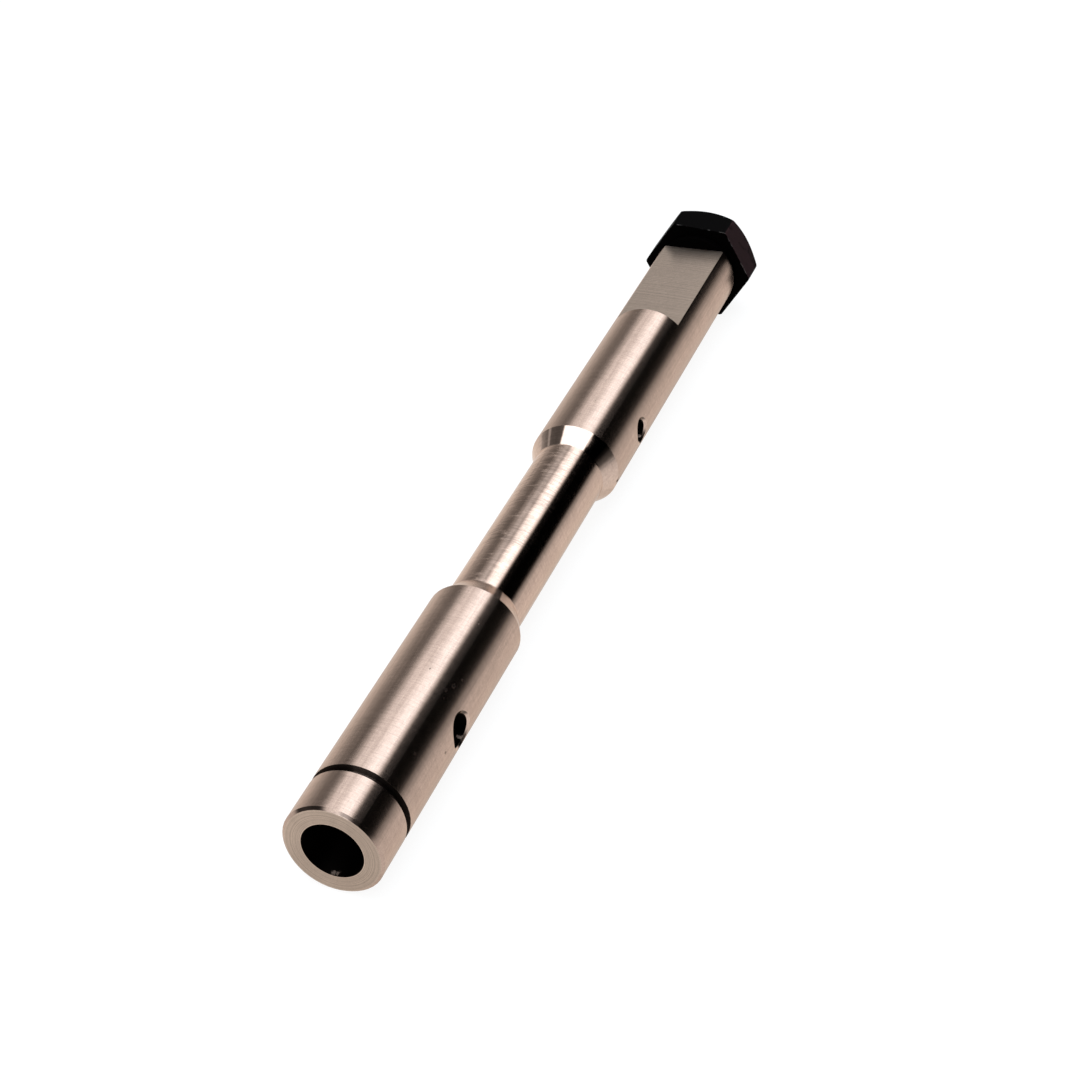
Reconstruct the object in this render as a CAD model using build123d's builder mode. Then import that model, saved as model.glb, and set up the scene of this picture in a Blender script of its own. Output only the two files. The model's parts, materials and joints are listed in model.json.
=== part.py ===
from build123d import *
from math import radians, sqrt, tan
import os

# A stepped steel shaft that lies along X, with a hex-head plug screwed into its rear end.
# The origin is the centre of the bored front face, +X runs to the rear and +Z is up.
# All sizes are in millimetres and all angles in degrees.

# Shaft: two journals of one diameter with a thinner neck between them
journal_diameter = 18.0
neck_diameter = 14.3
front_journal_length = 60.5
neck_length = 45.5  # without the tapers at its ends
rear_journal_length = 46.1  # as far as the milled flat
taper_angle = 25.0  # from the axis
neck_fillet = 0.6
front_chamfer = 0.5
rear_edge_radius = 0.4

# Snap-ring groove behind the front face
groove_offset = 9.2
groove_width = 1.6
groove_depth = 1.3

# Blind bore from the front face, drilled on past the rear cross hole
bore_diameter = 11.0
bore_run_on = 11.5
drill_point_angle = 118.0

# Cross holes through both walls, with the edge of each mouth broken
front_hole_diameter = 6.0
front_hole_chamfer = 0.45
front_hole_offset = 32.9  # from the front face
rear_hole_diameter = 4.5
rear_hole_chamfer = 0.5
rear_hole_offset = 14.6  # from the rear journal's first edge

# Milled flat on the rear end, at right angles to the cross holes
flat_length = 32.4
flat_depth = 2.95  # below the journal's surface
flat_turn = 4.5  # between the flat and the plug's top side, once the plug is tight

# End plug: hexagon, round collar that seats on the shaft's end, and threaded shank
hex_across_flats = 20.8
hex_thickness = 7.9
hex_corner_radius = 0.9
hex_face_diameter = 20.4  # the outer face, inside its chamfer
hex_chamfer_angle = 45.0  # from the outer face
collar_diameter = 17.0
collar_thickness = 1.5
shank_diameter = 10.0
shank_length = 20.0
shank_chamfer = 1.0
shank_clearance = 0.05  # radial, in the shaft's tapped hole
tapped_hole_run_on = 3.0

# Seam of the shaft's turned faces, clear of the flat and of the cross holes
seam_turn = 35.0  # from +Z towards -Y

journal_radius = journal_diameter / 2
neck_radius = neck_diameter / 2
taper_length = (journal_radius - neck_radius) / tan(radians(taper_angle))

# Stations along X
neck_start = front_journal_length + taper_length
neck_end = neck_start + neck_length
rear_journal_start = neck_end + taper_length
flat_start = rear_journal_start + rear_journal_length
shaft_length = flat_start + flat_length
hex_start = shaft_length + collar_thickness
hex_end = hex_start + hex_thickness
front_hole_station = front_hole_offset
rear_hole_station = rear_journal_start + rear_hole_offset

# The flat faces this plane's normal, and the cross holes run along its y direction
flat_datum = Plane.XY.rotated((-flat_turn, 0, 0))

# The shaft's half sections are drawn on this plane, from the X axis outwards
section_plane = Plane.XZ.rotated((seam_turn, 0, 0))


def drilled_profile(mouth, direction, radius, depth):
    """Half section of a drilled hole on the X axis, with the drill's point at its end."""
    point = radius / tan(radians(drill_point_angle / 2))
    with BuildSketch(section_plane) as profile:
        with BuildLine():
            Polyline(
                (mouth, 0),
                (mouth, radius),
                (mouth + direction * depth, radius),
                (mouth + direction * (depth + point), 0),
                close=True,
            )
        make_face()
    return profile.sketch


with BuildPart() as shaft:
    with BuildSketch(section_plane):
        with BuildLine():
            Polyline(
                (0, 0),
                (0, journal_radius),
                (front_journal_length, journal_radius),
                (neck_start, neck_radius),
                (neck_end, neck_radius),
                (rear_journal_start, journal_radius),
                (shaft_length, journal_radius),
                (shaft_length, 0),
                close=True,
            )
        make_face()
    revolve(axis=Axis.X)
    neck_edges = shaft.edges().filter_by(GeomType.CIRCLE).group_by(SortBy.RADIUS)[0]
    fillet(neck_edges, neck_fillet)
    chamfer(shaft.faces().sort_by(Axis.X)[0].edges(), front_chamfer)
    fillet(shaft.faces().sort_by(Axis.X)[-1].edges(), rear_edge_radius)

    # Snap-ring groove
    with BuildSketch(Plane.YZ.offset(groove_offset)):
        Circle(journal_diameter)
        Circle(journal_radius - groove_depth, mode=Mode.SUBTRACT)
    extrude(amount=groove_width, mode=Mode.SUBTRACT)

    # Bore from the front, and the tapped hole for the plug from the rear
    bore_depth = rear_hole_station + bore_run_on
    revolve(drilled_profile(0, 1, bore_diameter / 2, bore_depth), Axis.X, mode=Mode.SUBTRACT)
    tapped_radius = shank_diameter / 2 + shank_clearance
    tapped_depth = shank_length + tapped_hole_run_on
    revolve(drilled_profile(shaft_length, -1, tapped_radius, tapped_depth), Axis.X, mode=Mode.SUBTRACT)

    # Milled flat
    with BuildSketch(flat_datum.offset(journal_radius - flat_depth)):
        with Locations((flat_start + flat_length / 2, 0)):
            Rectangle(flat_length, journal_diameter)
    extrude(amount=journal_radius, mode=Mode.SUBTRACT)

    # Cross holes, drilled right through
    cross_holes = (
        (front_hole_station, front_hole_diameter, front_hole_chamfer),
        (rear_hole_station, rear_hole_diameter, rear_hole_chamfer),
    )
    for station, hole_diameter, mouth_chamfer in cross_holes:
        hole_plane = Plane(origin=(station, 0, 0), x_dir=(1, 0, 0), z_dir=flat_datum.y_dir)
        with Locations(hole_plane):
            Hole(hole_diameter / 2)
        mouths = shaft.edges(Select.LAST).sort_by_distance(hole_plane.origin)[-2:]
        chamfer(mouths, mouth_chamfer)

with BuildPart() as end_plug:
    with BuildSketch(Plane.YZ.offset(hex_start)):
        RegularPolygon(radius=hex_across_flats / 2, side_count=6, major_radius=False)
    extrude(amount=hex_thickness)
    fillet(end_plug.edges().filter_by(Axis.X), hex_corner_radius)

    # Turned chamfer on the outer face
    hex_reach = hex_across_flats / sqrt(3)
    chamfer_reach = (hex_reach - hex_face_diameter / 2) * tan(radians(hex_chamfer_angle))
    with BuildSketch(Plane.XZ):
        with BuildLine():
            Polyline(
                (hex_start, 0),
                (hex_start, hex_reach),
                (hex_end - chamfer_reach, hex_reach),
                (hex_end, hex_face_diameter / 2),
                (hex_end, 0),
                close=True,
            )
        make_face()
    revolve(axis=Axis.X, mode=Mode.INTERSECT)

    # Collar and shank
    with BuildSketch(Plane.YZ.offset(shaft_length)):
        Circle(collar_diameter / 2)
    extrude(amount=collar_thickness)
    with BuildSketch(Plane.YZ.offset(shaft_length)):
        Circle(shank_diameter / 2)
    extrude(amount=-shank_length)
    chamfer(end_plug.faces().sort_by(Axis.X)[0].edges(), shank_chamfer)

os.makedirs("parts", exist_ok=True)

shaft.part.label = "shaft"
export_step(shaft.part, "parts/shaft.step")

end_plug.part.label = "end_plug"
export_step(end_plug.part, "parts/end_plug.step")
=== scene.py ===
import json
import math

import bpy
from mathutils import Matrix, Vector


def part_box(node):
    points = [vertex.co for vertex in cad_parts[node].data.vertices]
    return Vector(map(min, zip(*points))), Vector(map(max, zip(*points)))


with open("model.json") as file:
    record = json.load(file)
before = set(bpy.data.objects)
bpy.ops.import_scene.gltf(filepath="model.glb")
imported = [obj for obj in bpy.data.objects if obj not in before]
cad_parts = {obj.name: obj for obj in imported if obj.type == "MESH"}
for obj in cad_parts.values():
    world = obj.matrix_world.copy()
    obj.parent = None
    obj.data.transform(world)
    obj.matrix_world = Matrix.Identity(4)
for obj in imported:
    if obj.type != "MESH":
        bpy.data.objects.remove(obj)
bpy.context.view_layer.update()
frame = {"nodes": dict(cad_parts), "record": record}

# A stepped steel shaft along X with a black hex plug in its rear end, lying on a pale floor.
# Lengths are in metres and angles in degrees, in the frame of the CAD model: the origin is the
# centre of the bored front face, and the turn round the shaft is 0 on top and 90 on its -Y side.
# Inside the materials of the shaft and the plug, lengths are in millimetres.

shaft = frame["nodes"]["shaft"]
plug = frame["nodes"]["end_plug"]
shaft_low, shaft_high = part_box("shaft")
plug_low, plug_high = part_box("end_plug")
mounts = {mount["name"]: mount for mount in frame["record"]["mounts"]}

MM = 0.001

# Sizes in millimetres that the finish follows
journal_radius = shaft_high.z / MM
bore_radius = mounts["front_bore"]["dims"]["r_mm"]
front_chamfer = 0.5
neck_ends = (64.467, 109.967)
taper_ends = (60.5, 113.935)
groove_ends = (9.2, 10.8)
flat_start = 160.035
flat_normal = Vector(mounts["milled_flat"]["axis"])
flat_height = Vector(mounts["milled_flat"]["pos_m"]).dot(flat_normal) / MM
hole_chamfers = {"front_cross_hole": 0.45, "rear_cross_hole": 0.5}
hex_thickness = 7.9

# Camera
camera_location = Vector((-0.235202, -0.123919, 0.260921))
camera_heading = 20.607  # from +X towards +Y
camera_pitch = -37.033
camera_roll = -0.150
camera_lens = 77.0
camera_sensor = 36.0


class Nodes:
    """A node tree, with a short call for each kind of step in it."""

    def __init__(self, tree):
        self.tree = tree
        tree.nodes.clear()

    def add(self, kind, inputs=None, **settings):
        node = self.tree.nodes.new("ShaderNode" + kind)
        for name, value in settings.items():
            setattr(node, name, value)
        for name, value in (inputs or {}).items():
            self.feed(node.inputs[name], value)
        return node

    def feed(self, socket, value):
        if isinstance(value, bpy.types.NodeSocket):
            self.tree.links.new(value, socket)
        else:
            socket.default_value = value

    def math(self, operation, first, second=0.0, third=0.0):
        return self.add("Math", {0: first, 1: second, 2: third}, operation=operation).outputs[0]

    def total(self, *values):
        result = values[0]
        for value in values[1:]:
            result = self.math("ADD", result, value)
        return result

    def product(self, *values):
        result = values[0]
        for value in values[1:]:
            result = self.math("MULTIPLY", result, value)
        return result

    def most(self, *values):
        result = values[0]
        for value in values[1:]:
            result = self.math("MAXIMUM", result, value)
        return result

    def length(self, *values):
        return self.math("SQRT", self.total(*(self.product(value, value) for value in values)))

    def one_plus(self, value, amount):
        """A factor of 1 where the value is 0, and of 1 + amount where it is 1."""
        return self.math("MULTIPLY_ADD", value, amount, 1.0)

    def swing(self, value, amount):
        """A noise from 0 to 1 becomes a factor about 1."""
        return self.math("MULTIPLY_ADD", self.math("SUBTRACT", value, 0.5), self.product(amount, 2.0), 1.0)

    def rise(self, value, low, high):
        """From 0 at low to 1 at high."""
        node = self.add("MapRange", {0: value, 1: low, 2: high}, interpolation_type="SMOOTHSTEP")
        return node.outputs[0]

    def fall(self, value, low, high):
        """From 1 at low to 0 at high."""
        return self.math("SUBTRACT", 1.0, self.rise(value, low, high))

    def within(self, value, low, high, soft=0.04):
        """1 between low and high, and 0 outside them."""
        return self.product(self.rise(value, low - soft, low), self.fall(value, high, high + soft))

    def blend(self, factor, first, second):
        return self.add("Mix", {0: factor, 2: first, 3: second}, data_type="FLOAT").outputs[0]

    def tint(self, factor, first, second):
        return self.add("Mix", {0: factor, 6: first, 7: second}, data_type="RGBA").outputs[2]

    def shade(self, colour, factor):
        return self.add("VectorMath", {0: colour, 3: factor}, operation="SCALE").outputs[0]

    def split(self, vector):
        return self.add("SeparateXYZ", {0: vector}).outputs

    def dot(self, first, second):
        return self.add("VectorMath", {0: first, 1: second}, operation="DOT_PRODUCT").outputs["Value"]

    def scaled(self, vector, scale):
        return self.add("VectorMath", {0: vector, 1: scale}, operation="MULTIPLY").outputs[0]

    def position(self):
        """The place on the object, in millimetres."""
        return self.scaled(self.add("TexCoord").outputs["Object"], (1 / MM, 1 / MM, 1 / MM))

    def noise(self, vector, scale, detail=2.0, roughness=0.5):
        place = self.scaled(vector, scale)
        inputs = {"Vector": place, "Scale": 1.0, "Detail": detail, "Roughness": roughness}
        return self.add("TexNoise", inputs).outputs[0]

    def line_noise(self, place, scale, detail, roughness=0.5):
        """A noise that changes along one line only."""
        inputs = {"W": self.product(place, scale), "Detail": detail, "Roughness": roughness}
        return self.add("TexNoise", inputs, noise_dimensions="1D").outputs[0]

    def clear_rays(self):
        """1 for the rays to which the floor and the backdrop are plain white."""
        rays = self.add("LightPath").outputs
        return self.most(rays["Is Camera Ray"], rays["Is Transmission Ray"])


def new_material(name):
    material = bpy.data.materials.new(name)
    material.use_nodes = True
    return material, Nodes(material.node_tree)


class ShaftSurface:
    """Coordinates on the shaft, and its regions, each 1 on its own surface and 0 elsewhere."""

    def __init__(self, nodes):
        self.position = nodes.position()
        self.x, self.y, self.z = nodes.split(self.position)
        self.radius = nodes.length(self.y, self.z)
        self.turn = nodes.math("DEGREES", nodes.math("ARCTAN2", nodes.product(self.y, -1.0), self.z))
        self.height = nodes.dot(self.position, flat_normal)

        self.neck = nodes.within(self.x, *neck_ends)
        self.tapers = nodes.math("SUBTRACT", nodes.within(self.x, *taper_ends), self.neck)
        below_journal = nodes.fall(self.radius, journal_radius - 0.1, journal_radius - 0.02)
        self.groove = nodes.product(nodes.within(self.x, *groove_ends, soft=0.01), below_journal)
        self.flat = nodes.product(
            nodes.within(self.height, flat_height - 0.02, flat_height + 0.02),
            nodes.rise(self.x, flat_start, flat_start + 0.065),
        )

        face_radius = journal_radius - front_chamfer
        self.front_face = nodes.fall(self.x, 0.01, 0.03)
        # The face's edges by the bore and by the chamfer, which the colour paints lighter as a highlight
        self.face_edge_highlight = nodes.most(
            nodes.fall(self.radius, bore_radius + 0.12, bore_radius + 0.25),
            nodes.rise(self.radius, face_radius - 0.25, face_radius - 0.1),
        )
        self.chamfer = nodes.product(
            nodes.rise(self.x, 0.03, 0.06),
            nodes.fall(self.x, front_chamfer - 0.04, front_chamfer),
            nodes.rise(self.radius, face_radius - 0.1, face_radius - 0.05),
        )
        self.flat_or_face = nodes.most(self.flat, self.front_face)

        # The inner walls of the bore and the cross holes, and the chamfers round the holes' mouths
        self.bore = nodes.fall(self.radius, bore_radius + 0.02, bore_radius + 0.1)
        walls = [self.bore]
        rims = []
        for name, chamfer in hole_chamfers.items():
            hole_radius = mounts[name]["dims"]["r_mm"]
            along = nodes.math("SUBTRACT", self.x, mounts[name]["pos_m"][0] / MM)
            reach = nodes.length(along, self.height)
            wall = nodes.fall(reach, hole_radius + 0.02, hole_radius + 0.08)
            mouth = nodes.fall(reach, hole_radius + chamfer, hole_radius + chamfer + 0.1)
            walls.append(wall)
            rims.append(nodes.math("SUBTRACT", mouth, wall))
        self.inside = nodes.most(*walls)
        self.rims = nodes.most(*rims)


def spot(nodes, ragged, place, centre, reach):
    """A spot with a ragged edge, where two coordinates are within reach of its centre."""
    core = 0.4
    edge = 1.2
    away = [
        nodes.math("DIVIDE", nodes.math("SUBTRACT", value, middle), half)
        for value, middle, half in zip(place, centre, reach)
    ]
    return nodes.fall(nodes.math("ADD", nodes.length(*away), ragged), core, edge)


def shaft_marks(nodes, on, ragged):
    """Small pits and rubs on the journals, and a pit on the edge of the rear taper."""
    # Each is a station, a turn, half a length, half a width in degrees and a strength
    pits = (
        (19.3, 45, 0.3, 1.8, 0.6),
        (26.0, 79, 0.4, 1.4, 0.5),
        (33.2, 40, 0.2, 1.0, 0.7),
        (34.9, 37, 0.35, 1.6, 0.9),
        (36.8, 42, 0.5, 2.2, 0.9),
        (37.3, 10, 0.25, 1.2, 0.5),
        (39.4, 47, 0.3, 1.4, 0.8),
        (52.4, 29, 0.2, 1.0, 0.5),
        (114.1, 101, 0.5, 3.0, 1.0),
        (118.2, -4, 0.5, 0.8, 0.35),
        (124.0, 4, 0.9, 0.7, 0.3),
        (131.5, 1, 0.6, 0.6, 0.3),
    )
    marks = []
    for station, turn, half_length, half_width, strength in pits:
        pit = spot(nodes, ragged, (on.x, on.turn), (station, turn), (half_length, half_width))
        marks.append(nodes.product(pit, strength))
    return nodes.most(*marks)


def painted_glints(nodes, on, ragged):
    """Painted glints of light just inside the bore's mouth and the -Y mouths of the cross holes, where the
    painted shade is left off.
    """
    bore_glint_station = 0.6
    bore_glint_turn = 177.0
    bore_glint_reach = (0.5, 5.0)
    hole_glint_drops = {"front_cross_hole": 2.0, "rear_cross_hole": 1.4}
    hole_glint_reach = (0.35, 0.35)

    # The bore's glint is at the bottom, on both sides of where the turn jumps from 180 to -180
    either_turn = nodes.math("ABSOLUTE", on.turn)
    place = (on.x, either_turn)
    bore_glint = spot(nodes, ragged, place, (bore_glint_station, bore_glint_turn), bore_glint_reach)
    glints = [nodes.product(on.bore, bore_glint, 0.6)]

    near_mouth = nodes.fall(on.y, -7.4, -7.2)
    for name, drop in hole_glint_drops.items():
        station = mounts[name]["pos_m"][0] / MM + 0.45 * mounts[name]["dims"]["r_mm"]
        glint = spot(nodes, ragged, (on.x, on.z), (station, -drop), hole_glint_reach)
        glints.append(nodes.product(glint, near_mouth))
    return nodes.most(*glints)


def milling_lines(nodes, on):
    """Slightly curved lines straight across the flat, where the cutter passed."""
    slant = 0.04
    curvature = 0.004
    across = Vector((1, 0, 0)).cross(flat_normal)
    sweep = nodes.dot(on.position, across)
    offset = nodes.math("MULTIPLY_ADD", nodes.product(sweep, sweep), curvature, nodes.product(sweep, slant))
    return nodes.line_noise(nodes.math("ADD", on.x, offset), 1.1, detail=4.0, roughness=0.75)


def cutting_lines(nodes, on):
    """Rings round the shaft and on its front face, and milling lines on the flat."""
    rings = nodes.noise(on.position, (3.0, 0.15, 0.15), detail=3.0, roughness=0.75)
    face_rings = nodes.line_noise(on.radius, 1.5, detail=3.0)
    lines = nodes.blend(on.front_face, rings, face_rings)
    return nodes.blend(on.flat, lines, milling_lines(nodes, on))


def neck_streaks_and_shade(nodes, on):
    """Broken rings, stronger where a pass along the neck was coarser and strongest on top, where the
    highlight lies; their darkening of the colour there is partly painted shade.
    """
    passes = ((77.5, 83.0, 1.2), (90.0, 108.0, 1.5))  # each with the length of its soft ends
    coarse = nodes.most(*(nodes.within(on.x, low, high, soft) for low, high, soft in passes))
    share = nodes.product(
        nodes.blend(nodes.product(coarse, on.neck), 0.3, 1.0),
        nodes.blend(nodes.within(on.turn, -50.0, 20.0, soft=25.0), 0.25, 1.0),
    )
    streaks = nodes.noise(on.position, (3.0, 0.35, 0.35), detail=3.0, roughness=0.65)
    return nodes.product(nodes.rise(streaks, 0.42, 0.66), share)


def neck_bars_and_highlight(nodes, on):
    """Short bars across the top of the neck, rougher where the metal is rubbed, and painted lighter as a
    highlight.
    """
    bars = nodes.noise(on.position, (1.1, 0.3, 0.3), roughness=0.6)
    on_top = nodes.within(on.turn, -25.0, 10.0, soft=15.0)
    return nodes.product(nodes.rise(bars, 0.52, 0.64), on_top, on.neck)


def shaft_painted_shade(nodes, on, ragged):
    """Painted shade in the bore and holes, in the groove, along the front chamfer and on the holes' upper
    rims.
    """
    # Painted shade in two bands round the front chamfer
    chamfer_shade = nodes.total(
        nodes.product(nodes.within(on.turn, -38.0, -12.0, soft=9.0), 0.85),
        nodes.product(nodes.within(on.turn, 16.0, 48.0, soft=9.0), 0.6),
    )
    # Painted shade in the groove, a little lighter near the top as a painted highlight
    groove_shade = nodes.math("MULTIPLY_ADD", nodes.within(on.turn, -3.0, 20.0, soft=6.0), -0.12, 0.92)
    # Painted shade on the upper part of the holes' rims
    upper_rims = nodes.product(on.rims, nodes.rise(on.height, 0.8, 2.0))
    return nodes.most(
        # Painted shade: the walls of the bore and the cross holes go near black, except at the painted
        # glints
        nodes.product(on.inside, nodes.one_plus(painted_glints(nodes, on, ragged), -0.85)),
        nodes.product(on.groove, groove_shade),
        nodes.product(on.chamfer, chamfer_shade),
        nodes.product(upper_rims, 0.9),
    )


def turned_steel():
    """Turned and ground steel: rings round the shaft, straight milling marks on the flat, and holes
    darkened with painted shade.
    """
    material, nodes = new_material("turned_steel")
    on = ShaftSurface(nodes)
    lines = cutting_lines(nodes, on)
    broad_rings = nodes.noise(on.position, (0.35, 0.05, 0.05), roughness=0.6)
    grain = nodes.noise(on.position, (5.0, 5.0, 5.0), detail=3.0, roughness=0.65)
    mottle = nodes.noise(on.position, (0.9, 1.4, 1.4), detail=3.0, roughness=0.7)
    smears = nodes.noise(on.position, (0.07, 2.0, 2.0), detail=3.0, roughness=0.6)
    streaks = neck_streaks_and_shade(nodes, on)
    bars = neck_bars_and_highlight(nodes, on)
    # Painted shade: a band along the top of the neck, darker by nearly half
    neck_painted_shade = nodes.product(nodes.within(on.turn, -5.0, 3.0, soft=6.0), on.neck)
    ragged = nodes.math("MULTIPLY_ADD", nodes.noise(on.position, (3.5, 3.5, 3.5)), 2.4, -1.2)
    marks = shaft_marks(nodes, on, ragged)

    # Colour
    clean = (0.50, 0.37, 0.305, 1.0)
    polished_and_lit = (0.62, 0.475, 0.40, 1.0)
    dull = (0.30, 0.235, 0.19, 1.0)
    # Near black, for the pits and for the painted shade
    pit_and_shade_black = (0.004, 0.003, 0.0025, 1.0)
    # The tapers are polished; the chamfers round the holes are painted lighter, as a highlight
    colour = nodes.tint(nodes.most(on.tapers, on.rims), clean, polished_and_lit)
    colour = nodes.tint(on.flat_or_face, colour, dull)
    # The front face is lighter than the dull milled colour, and its edges lighter still as a painted
    # highlight
    face_level = nodes.math("MULTIPLY_ADD", on.face_edge_highlight, 0.3, 0.62)
    line_contrast = nodes.blend(on.front_face, nodes.blend(on.flat, 0.3, 3.0), 1.4)
    for factor in (
        nodes.one_plus(on.neck, 0.14),
        nodes.one_plus(on.front_face, face_level),
        nodes.swing(broad_rings, 0.06),
        nodes.swing(smears, nodes.blend(on.flat_or_face, 0.2, 0.0)),
        nodes.swing(mottle, 0.16),
        nodes.one_plus(nodes.math("SUBTRACT", lines, 0.5), line_contrast),
        nodes.swing(grain, 0.2),
        # The streaks darken the colour: tool marks, and painted shade on top where the highlight lies
        nodes.one_plus(streaks, -0.3),
        nodes.one_plus(neck_painted_shade, -0.45),
        # Painted highlight: the neck's bars are lighter on top
        nodes.one_plus(bars, 0.25),
    ):
        colour = nodes.shade(colour, factor)
    # The pits and the painted shade take the colour towards near black
    colour = nodes.tint(nodes.most(shaft_painted_shade(nodes, on, ragged), marks), colour, pit_and_shade_black)

    # Roughness
    ground = 0.235
    turned = 0.13
    front_taper = 0.22
    rear_taper = 0.08
    milled = 0.30
    chamfered = 0.15
    dirty = 0.5
    pitted = 0.7
    taper = nodes.blend(nodes.rise(on.x, *neck_ends), front_taper, rear_taper)
    rough = nodes.blend(on.neck, ground, turned)
    rough = nodes.blend(on.tapers, rough, taper)
    rough = nodes.blend(on.flat_or_face, rough, milled)
    rough = nodes.blend(on.rims, rough, chamfered)
    rough = nodes.blend(nodes.most(on.groove, on.inside), rough, dirty)
    rough = nodes.product(rough, nodes.swing(lines, 0.15), nodes.swing(grain, 0.12))
    rough = nodes.total(rough, nodes.product(streaks, on.neck, 0.06), nodes.product(bars, 0.1))
    rough = nodes.blend(marks, rough, pitted)

    # Bump: the lines and the streaks as shallow grooves, and the marks as pits
    relief = nodes.total(
        nodes.product(lines, 0.6),
        nodes.product(grain, 0.05),
        nodes.product(streaks, on.neck, 0.5),
        nodes.product(marks, -6.0),
    )
    bump = nodes.add("Bump", {"Strength": 0.6, "Distance": 0.002 * MM, "Height": relief})

    tangent = nodes.add("Tangent", direction_type="RADIAL", axis="X")
    shader = nodes.add("BsdfPrincipled", {
        "Base Color": colour,
        "Metallic": 1.0,
        "Roughness": rough,
        "Specular Tint": (1.0, 0.9, 0.82, 1.0),
        "Anisotropic": 0.75,
        "Anisotropic Rotation": 0.25,
        "Tangent": tangent.outputs[0],
        "Normal": bump.outputs[0],
    })
    nodes.add("OutputMaterial", {"Surface": shader.outputs[0]})
    return material


def black_oxide():
    """Blackened steel, with a painted brown sheen on its -Y side, and worn to grey along the hexagon's
    corners.
    """
    material, nodes = new_material("black_oxide")
    position = nodes.position()
    y, z = nodes.split(position)[1:]
    radius = nodes.length(y, z)
    clouds = nodes.noise(position, (0.35, 0.35, 0.35), detail=3.0)
    patches = nodes.noise(position, (0.5, 0.5, 0.5), detail=3.0)
    grain = nodes.noise(position, (6.0, 6.0, 6.0), detail=4.0, roughness=0.65)
    strokes = nodes.noise(position, (0.6, 6.0, 6.0), detail=3.0)

    # A rounded normal leaves the true one only near an edge, where the black is worn off
    surface = nodes.add("NewGeometry").outputs["Normal"]
    rounded = nodes.add("Bevel", {"Radius": 0.35 * MM}, samples=6).outputs[0]
    edges = nodes.fall(nodes.dot(rounded, surface), 0.90, 0.985)
    worn = nodes.product(edges, nodes.rise(patches, 0.5, 0.62), nodes.rise(radius, 9.4, 9.7))

    # Painted sheen: the hexagon's faces towards -Y are tinted a faint brown in clouds
    facing = nodes.product(nodes.split(surface)["Y"], -1.0)
    on_hexagon = nodes.rise(radius, 8.6, 9.0)
    painted_sheen = nodes.product(nodes.rise(clouds, 0.2, 0.5), nodes.rise(facing, 0.3, 0.6), on_hexagon)

    black = (0.0011, 0.0008, 0.0008, 1.0)
    sheen_brown = (0.034, 0.018, 0.019, 1.0)
    bare = (0.16, 0.15, 0.145, 1.0)
    colour = nodes.tint(painted_sheen, black, sheen_brown)
    colour = nodes.tint(nodes.product(worn, 0.7), colour, bare)
    rough = nodes.product(0.4, nodes.swing(grain, 0.25), nodes.swing(strokes, 0.15))
    relief = nodes.total(grain, nodes.product(strokes, 0.6))
    bump = nodes.add("Bump", {"Strength": 0.5, "Distance": 0.006 * MM, "Height": relief})
    shader = nodes.add("BsdfPrincipled", {
        "Base Color": colour,
        "Metallic": nodes.product(worn, 0.8),
        "Roughness": rough,
        "Specular IOR Level": 0.006,
        "Normal": bump.outputs[0],
    })
    nodes.add("OutputMaterial", {"Surface": shader.outputs[0]})
    return material


def floor_material():
    """A pale matt floor with a faint shadow, which the camera and the metal see as near white."""
    material, nodes = new_material("floor")
    matt_colour = (0.13, 0.13, 0.13, 1.0)
    white = (1.0, 1.0, 1.0, 1.0)
    warm_white = (1.0, 0.97, 0.94, 1.0)
    camera_glow = 0.92
    metal_glow = 0.8

    # A painted pool of light: the glow that the metal sees fades with the distance from the shaft, faster
    # on the -Y side
    fade_start = 0.02
    near_side_fade = 0.13
    far_side_fade = 0.32
    distant_share = 0.35
    y = nodes.split(nodes.add("NewGeometry").outputs["Position"])["Y"]
    away = nodes.math("ABSOLUTE", y)
    past = nodes.most(nodes.math("SUBTRACT", away, fade_start), 0.0)
    rate = nodes.blend(nodes.rise(y, -0.001, 0.001), -1 / near_side_fade, -1 / far_side_fade)
    fade = nodes.math("EXPONENT", nodes.product(past, rate))
    fade = nodes.math("MULTIPLY_ADD", fade, 1.0 - distant_share, distant_share)

    # A painted shadow: the glow that the metal sees is a little darker right under the shaft
    under_shaft = nodes.fall(away, 0.0095, 0.012)
    fade = nodes.product(fade, nodes.one_plus(under_shaft, -0.13))

    clear_rays = nodes.clear_rays()
    glossy_rays = nodes.add("LightPath").outputs["Is Glossy Ray"]
    glow_for_metal = nodes.product(glossy_rays, fade, metal_glow)
    strength = nodes.most(nodes.product(clear_rays, camera_glow), glow_for_metal)
    glow = nodes.add("Emission", {"Color": nodes.tint(clear_rays, warm_white, white), "Strength": strength})
    matt = nodes.add("BsdfDiffuse", {"Color": matt_colour})
    surface = nodes.add("AddShader", {0: matt.outputs[0], 1: glow.outputs[0]})
    nodes.add("OutputMaterial", {"Surface": surface.outputs[0]})
    return material


def lay_floor():
    """The floor touches the front journal and the near edge of the hexagon's lower side."""
    front_contact = Vector((shaft_low.x, 0, shaft_low.z))
    rear_contact = Vector((plug_high.x - hex_thickness * MM, 0, plug_low.z))
    run = rear_contact - front_contact
    half = 4.0
    mesh = bpy.data.meshes.new("floor")
    corners = [(-half, -half, 0), (half, -half, 0), (half, half, 0), (-half, half, 0)]
    mesh.from_pydata(corners, [], [(0, 1, 2, 3)])
    mesh.materials.append(floor_material())
    floor = bpy.data.objects.new("floor", mesh)
    floor.location = front_contact
    floor.rotation_euler.y = math.atan2(-run.z, run.x)
    bpy.context.scene.collection.objects.link(floor)


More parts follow.
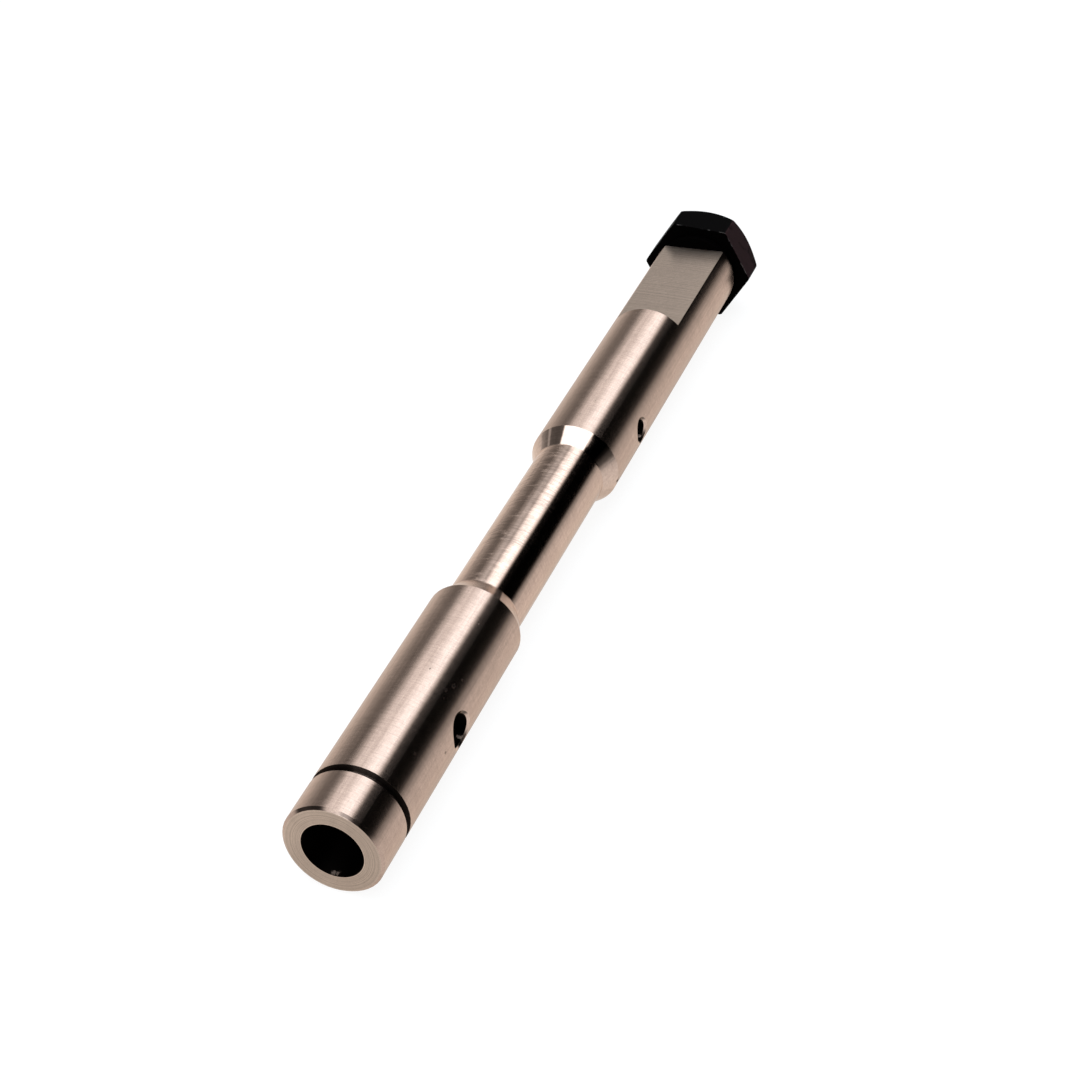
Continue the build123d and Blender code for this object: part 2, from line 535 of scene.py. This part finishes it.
def studio_levels(nodes, place, levels, brightest):
    """The studio's brightness at a place from 0 to 1, given as pairs of a turn and a level."""
    node = nodes.add("ValToRGB", {"Fac": place})
    stops = node.color_ramp.elements
    stops.remove(stops[0])
    for index, (angle, level) in enumerate(levels):
        along_ramp = (angle + 180) / 360
        share = level / brightest
        stop = stops[0] if index == 0 else stops.new(along_ramp)
        stop.position = along_ramp
        stop.color = (share, share, share, 1.0)
    return node.outputs["Color"]


def light_studio():
    """A soft box overhead along the shaft, a pale wall on its +Y side and a dark room on its -Y side.

    Each level is the studio's brightness at a turn round the shaft. The soft box is wider and
    has sharper edges straight across the shaft than where it runs away along it.
    """
    world = bpy.data.worlds.new("studio")
    world.use_nodes = True
    bpy.context.scene.world = world
    nodes = Nodes(world.node_tree)
    x, y, z = nodes.split(nodes.add("TexCoord").outputs["Generated"])
    turn = nodes.math("ARCTAN2", nodes.product(y, -1.0), z)
    place = nodes.math("MULTIPLY_ADD", turn, 1 / math.tau, 0.5)
    brightest = 2.45
    along = studio_levels(nodes, place, (
        (-110, 0.8), (-95, 0.7), (-87, 0.56), (-79, 0.43), (-71, 0.33), (-63, 0.25), (-55, 0.2),
        (-48, 0.2), (-42, 0.45), (-36, 1.05), (-29, 1.45), (-23, 1.5), (-17, 1.2), (-11, 1.7),
        (-5, 2.1), (1, 2.3), (7, 2.45), (13, 2.4), (17, 2.05), (21, 1.3), (24.5, 0.4),
        (27.5, 0.03), (31, 0.0), (80, 0.0), (85, 0.16), (90, 0.48), (97, 0.7), (110, 0.83),
    ), brightest)
    across = studio_levels(nodes, place, (
        (-110, 0.4), (-88, 0.28), (-79, 0.2), (-75, 0.2), (-72, 0.5), (-69.5, 0.5), (-66.5, 0.15),
        (-49, 0.1), (-39.5, 0.14), (-36, 2.3), (-20, 2.45), (22.5, 2.45), (26.5, 0.04), (30, 0.0),
        (60, 0.0), (68, 0.01), (82, 0.12), (86, 0.26), (90, 0.48), (110, 0.5),
    ), brightest)
    light = nodes.tint(nodes.rise(nodes.math("ABSOLUTE", x), 0.25, 0.5), across, along)

    # The far end of the studio is darker, and the brightest light is the coolest
    light = nodes.shade(light, nodes.one_plus(nodes.rise(x, 0.88, 0.96), -0.7))
    warm = (1.0, 0.98, 0.96, 1.0)
    cool = (0.97, 1.06, 1.15, 1.0)
    light = nodes.scaled(light, nodes.tint(light, warm, cool))

    studio = nodes.add("Background", {"Color": light, "Strength": brightest})
    backdrop = nodes.add("Background", {"Color": (1.0, 1.0, 1.0, 1.0), "Strength": 1.0})
    mix = nodes.add("MixShader", {0: nodes.clear_rays(), 1: studio.outputs[0], 2: backdrop.outputs[0]})
    nodes.add("OutputWorld", {"Surface": mix.outputs[0]})


def place_camera():
    data = bpy.data.cameras.new("camera")
    data.lens = camera_lens
    data.sensor_width = camera_sensor
    camera = bpy.data.objects.new("camera", data)
    heading = Matrix.Rotation(math.radians(camera_heading - 90), 4, "Z")
    pitch = Matrix.Rotation(math.radians(camera_pitch + 90), 4, "X")
    roll = Matrix.Rotation(math.radians(camera_roll), 4, "Z")
    camera.matrix_world = Matrix.Translation(camera_location) @ heading @ pitch @ roll
    bpy.context.scene.collection.objects.link(camera)
    bpy.context.scene.camera = camera


shaft.data.materials[0] = turned_steel()
plug.data.materials[0] = black_oxide()
lay_floor()
light_studio()
place_camera()
bpy.context.scene.view_settings.view_transform = "Standard"
